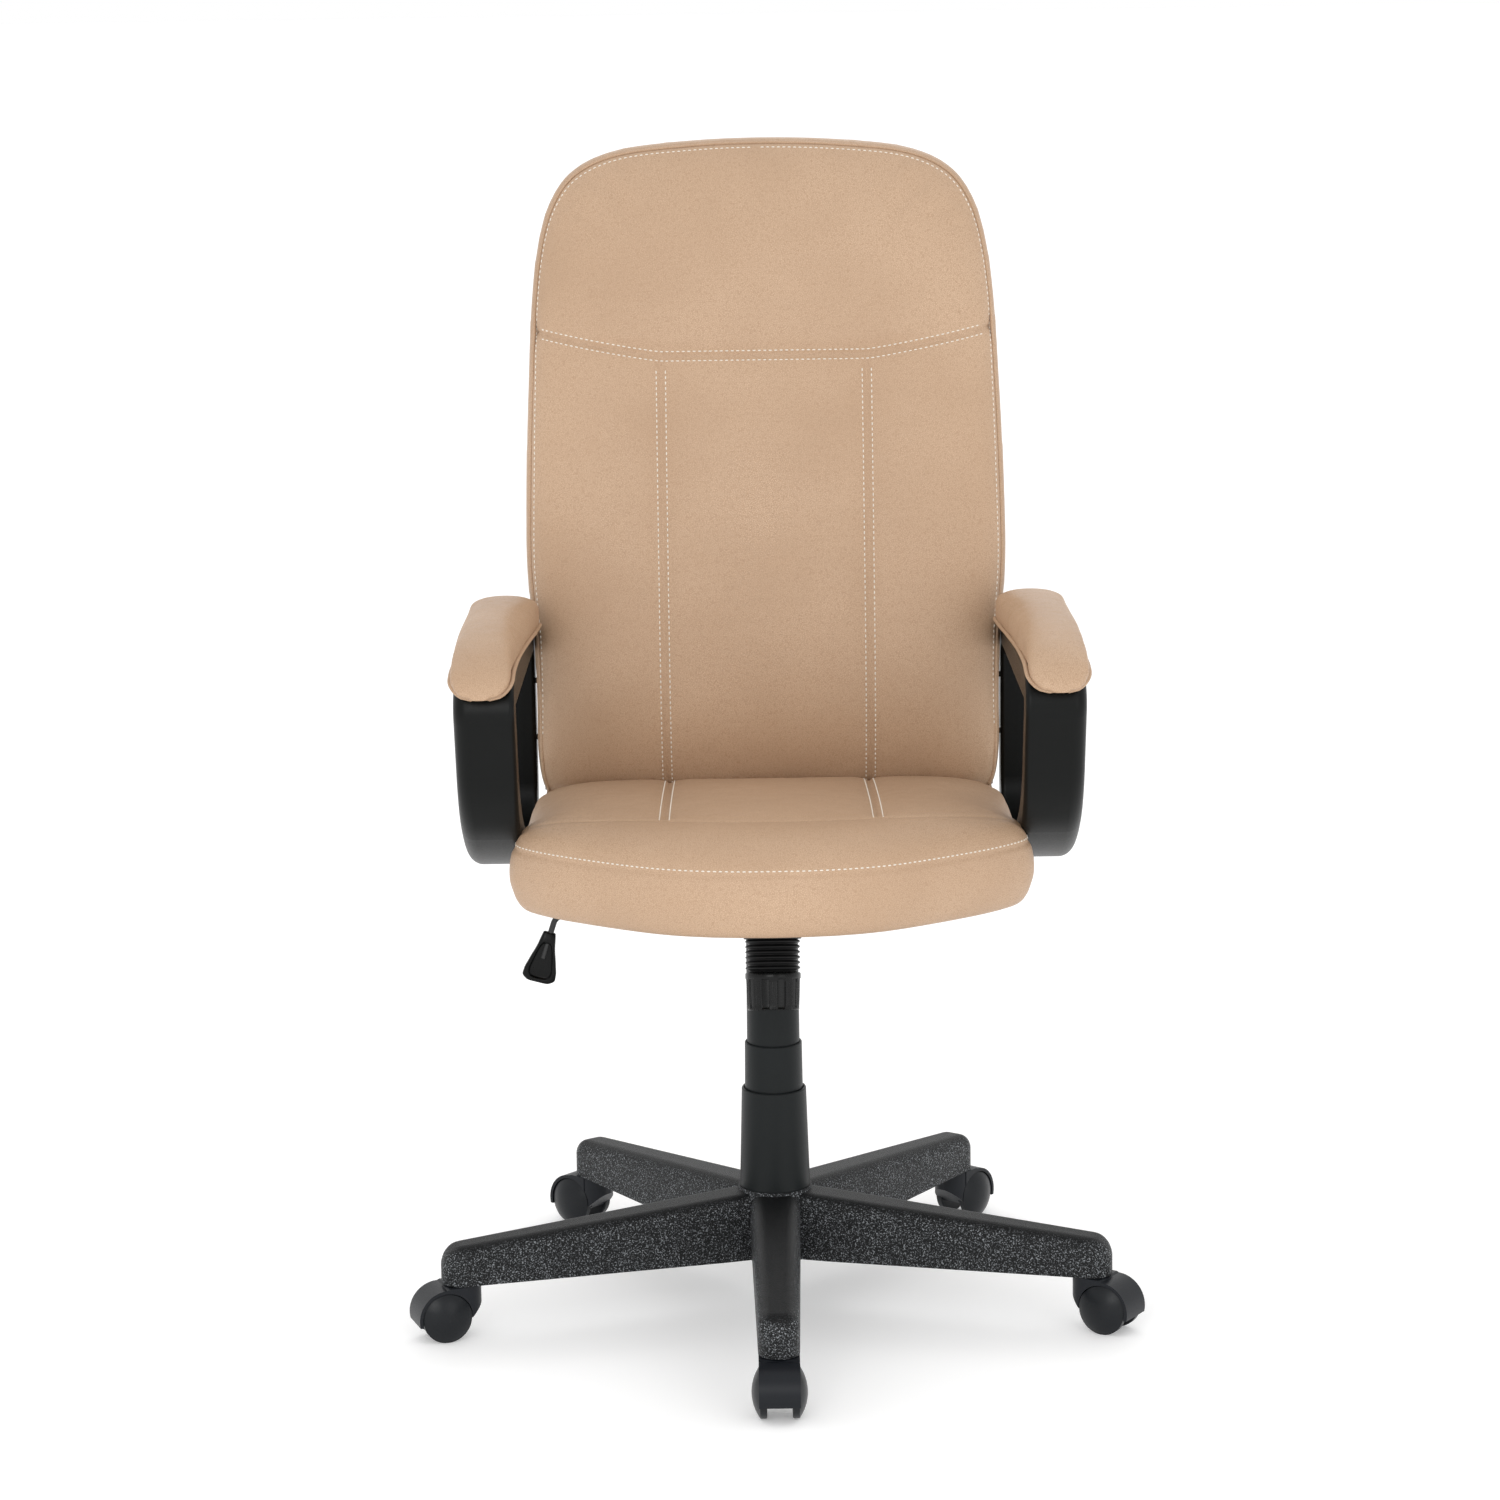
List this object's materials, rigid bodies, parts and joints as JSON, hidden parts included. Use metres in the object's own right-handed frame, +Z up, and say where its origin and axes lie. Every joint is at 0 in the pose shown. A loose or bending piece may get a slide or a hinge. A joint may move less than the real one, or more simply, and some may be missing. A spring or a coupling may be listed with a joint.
{
  "type": "office chair",
  "caption": "High-back swivel office chair with padded loop arms, gas lift, spring tilt and a castered star base.",
  "frame": {"origin": "on the floor, on the column's axis, under the middle of the star base", "axes": "+Z up; the chair faces -Y; +X is the sitter's left, the height lever is on -X"},
  "size_m": [0.7383, 0.702, 1.176],
  "materials": {
    "leather": "light tan leatherette, fine grain, semi-matt",
    "underside_cloth": "black non-woven dust cloth",
    "plywood": "plain moulded plywood",
    "arm_plastic": "fine-textured black plastic",
    "base_plastic": "coarse-textured black nylon",
    "cover_plastic": "matt black plastic",
    "knob_plastic": "semi-gloss black plastic",
    "lever_plastic": "satin black plastic",
    "sleeve_rubber": "black ribbed rubber",
    "caster_plastic": "satin black nylon",
    "wheel_plastic": "satin black nylon",
    "bush_plastic": "plain dark acetal",
    "column_steel": "black enamelled steel tube",
    "mechanism_steel": "black powder-coated pressed steel",
    "lever_steel": "black enamelled steel rod",
    "rod_steel": "hard-chromed rod",
    "bearing_steel": "plain steel",
    "bolt_steel": "blackened steel"
  },
  "bodies": {
    "base": {"star_base": "base_plastic", "column_tube": "column_steel", "guide_bush": "bush_plastic", "thrust_bearing": "bearing_steel", "lower_cover": "cover_plastic"},
    "spindle": {"piston_rod": "rod_steel", "retaining_clip": "bearing_steel"},
    "cover": {"middle_cover": "cover_plastic"},
    "lift": {"gas_cylinder": "column_steel", "upper_cover": "cover_plastic", "mechanism_housing": "mechanism_steel", "tension_spring": "bearing_steel", "spring_sleeve": "sleeve_rubber"},
    "valve": {"valve_button": "bearing_steel"},
    "yoke": {"release_yoke": "bush_plastic"},
    "lever": {"lever_rod": "lever_steel", "lever_paddle": "lever_plastic"},
    "tension_link": {"tension_bolt": "bearing_steel"},
    "tension_nut": {"spring_cup": "bearing_steel"},
    "knob": {"tension_knob": "knob_plastic"},
    "seat": {"seat_plate": "mechanism_steel", "tilt_axle": "bearing_steel", "seat_board": "plywood", "seat_cushion": "leather", "seat_underside": "underside_cloth", "plate_bolts": "bolt_steel", "arm_left": "arm_plastic", "arm_right": "arm_plastic", "arm_pad_left": "leather", "arm_pad_right": "leather", "arm_bolts": "bolt_steel", "back_board": "plywood", "back_cushion": "leather", "back_panel": "leather"},
    "caster_front": {"caster_front_housing": "caster_plastic", "caster_front_stem": "bearing_steel", "caster_front_axle": "bearing_steel"},
    "caster_front_wheel_a": {"caster_front_wheel_a": "wheel_plastic"},
    "caster_front_wheel_b": {"caster_front_wheel_b": "wheel_plastic"},
    "caster_right": {"caster_right_housing": "caster_plastic", "caster_right_stem": "bearing_steel", "caster_right_axle": "bearing_steel"},
    "caster_right_wheel_a": {"caster_right_wheel_a": "wheel_plastic"},
    "caster_right_wheel_b": {"caster_right_wheel_b": "wheel_plastic"},
    "caster_rear_right": {"caster_rear_right_housing": "caster_plastic", "caster_rear_right_stem": "bearing_steel", "caster_rear_right_axle": "bearing_steel"},
    "caster_rear_right_wheel_a": {"caster_rear_right_wheel_a": "wheel_plastic"},
    "caster_rear_right_wheel_b": {"caster_rear_right_wheel_b": "wheel_plastic"},
    "caster_rear_left": {"caster_rear_left_housing": "caster_plastic", "caster_rear_left_stem": "bearing_steel", "caster_rear_left_axle": "bearing_steel"},
    "caster_rear_left_wheel_a": {"caster_rear_left_wheel_a": "wheel_plastic"},
    "caster_rear_left_wheel_b": {"caster_rear_left_wheel_b": "wheel_plastic"},
    "caster_left": {"caster_left_housing": "caster_plastic", "caster_left_stem": "bearing_steel", "caster_left_axle": "bearing_steel"},
    "caster_left_wheel_a": {"caster_left_wheel_a": "wheel_plastic"},
    "caster_left_wheel_b": {"caster_left_wheel_b": "wheel_plastic"}
  },
  "joints": [
    {"name": "seat_swivel", "type": "hinge", "parent": "base", "child": "spindle", "pos_m": [0, 0, 0.2], "axis": [0, 0, 1], "continuous": true},
    {"name": "seat_height", "type": "slide", "parent": "spindle", "child": "lift", "axis": [0, 0, 1], "range_m": [-0.079, 0.025]},
    {"name": "cover_slide", "type": "slide", "parent": "base", "child": "cover", "axis": [0, 0, 1], "range_m": [-0.0474, 0.015]},
    {"name": "seat_tilt", "type": "hinge", "parent": "lift", "child": "seat", "pos_m": [0, -0.062, 0.425], "axis": [-1, 0, 0], "range_deg": [0, 14], "stiffness_Nm_per_rad": 120, "springref_deg": -20.05},
    {"name": "lever_lift", "type": "hinge", "parent": "lift", "child": "yoke", "pos_m": [-0.046, 0, 0.4161], "axis": [0, 1, 0], "range_deg": [0, 4.5], "stiffness_Nm_per_rad": 3, "springref_deg": -6.88},
    {"name": "lever_pull", "type": "slide", "parent": "yoke", "child": "lever", "axis": [-0.9986, 0, -0.0523], "range_m": [0, 0.014]},
    {"name": "valve_press", "type": "slide", "parent": "lift", "child": "valve", "axis": [0, 0, -1], "range_m": [0, 0.0045]},
    {"name": "tension_draw", "type": "slide", "parent": "lift", "child": "tension_link", "axis": [0, 0.2419, 0.9703], "range_m": [0, 0.0088], "deforming": ["tension_spring", "spring_sleeve"]},
    {"name": "tension_advance", "type": "slide", "parent": "tension_link", "child": "tension_nut", "axis": [0, 0.2419, 0.9703], "range_m": [-0.003, 0.003]},
    {"name": "tension_turn", "type": "hinge", "parent": "tension_nut", "child": "knob", "pos_m": [0, -0.12, 0.3365], "axis": [0, 0.2419, 0.9703], "range_deg": [-720, 720]},
    {"name": "caster_front_swivel", "type": "hinge", "parent": "base", "child": "caster_front", "pos_m": [0, -0.332, 0.07], "axis": [0, 0, 1], "continuous": true},
    {"name": "caster_front_roll_a", "type": "hinge", "parent": "caster_front", "child": "caster_front_wheel_a", "pos_m": [0, -0.353, 0.025], "axis": [1, 0, 0], "continuous": true},
    {"name": "caster_front_roll_b", "type": "hinge", "parent": "caster_front", "child": "caster_front_wheel_b", "pos_m": [0, -0.353, 0.025], "axis": [1, 0, 0], "continuous": true},
    {"name": "caster_right_swivel", "type": "hinge", "parent": "base", "child": "caster_right", "pos_m": [0.31575, -0.10259, 0.07], "axis": [0, 0, 1], "continuous": true},
    {"name": "caster_right_roll_a", "type": "hinge", "parent": "caster_right", "child": "caster_right_wheel_a", "pos_m": [0.33336, -0.11403, 0.025], "axis": [0.5446, 0.8387, 0], "continuous": true},
    {"name": "caster_right_roll_b", "type": "hinge", "parent": "caster_right", "child": "caster_right_wheel_b", "pos_m": [0.33336, -0.11403, 0.025], "axis": [0.5446, 0.8387, 0], "continuous": true},
    {"name": "caster_rear_right_swivel", "type": "hinge", "parent": "base", "child": "caster_rear_right", "pos_m": [0.19515, 0.26859, 0.07], "axis": [0, 0, 1], "continuous": true},
    {"name": "caster_rear_right_roll_a", "type": "hinge", "parent": "caster_rear_right", "child": "caster_rear_right_wheel_a", "pos_m": [0.20864, 0.28468, 0.025], "axis": [-0.766, 0.6428, 0], "continuous": true},
    {"name": "caster_rear_right_roll_b", "type": "hinge", "parent": "caster_rear_right", "child": "caster_rear_right_wheel_b", "pos_m": [0.20864, 0.28468, 0.025], "axis": [-0.766, 0.6428, 0], "continuous": true},
    {"name": "caster_rear_left_swivel", "type": "hinge", "parent": "base", "child": "caster_rear_left", "pos_m": [-0.19515, 0.26859, 0.07], "axis": [0, 0, 1], "continuous": true},
    {"name": "caster_rear_left_roll_a", "type": "hinge", "parent": "caster_rear_left", "child": "caster_rear_left_wheel_a", "pos_m": [-0.21123, 0.28209, 0.025], "axis": [-0.6428, -0.766, 0], "continuous": true},
    {"name": "caster_rear_left_roll_b", "type": "hinge", "parent": "caster_rear_left", "child": "caster_rear_left_wheel_b", "pos_m": [-0.21123, 0.28209, 0.025], "axis": [-0.6428, -0.766, 0], "continuous": true},
    {"name": "caster_left_swivel", "type": "hinge", "parent": "base", "child": "caster_left", "pos_m": [-0.31575, -0.10259, 0.07], "axis": [0, 0, 1], "continuous": true},
    {"name": "caster_left_roll_a", "type": "hinge", "parent": "caster_left", "child": "caster_left_wheel_a", "pos_m": [-0.33548, -0.10978, 0.025], "axis": [0.342, -0.9397, 0], "continuous": true},
    {"name": "caster_left_roll_b", "type": "hinge", "parent": "caster_left", "child": "caster_left_wheel_b", "pos_m": [-0.33548, -0.10978, 0.025], "axis": [0.342, -0.9397, 0], "continuous": true}
  ],
  "couplings": [
    {"joint": "cover_slide", "follows": "seat_height", "ratio": 0.6},
    {"joint": "valve_press", "follows": "lever_lift", "m_per_rad": 0.048},
    {"joint": "tension_draw", "follows": "seat_tilt", "m_per_rad": 0.0357},
    {"joint": "tension_advance", "follows": "tension_turn", "m_per_rad": 0.00023873}
  ]
}
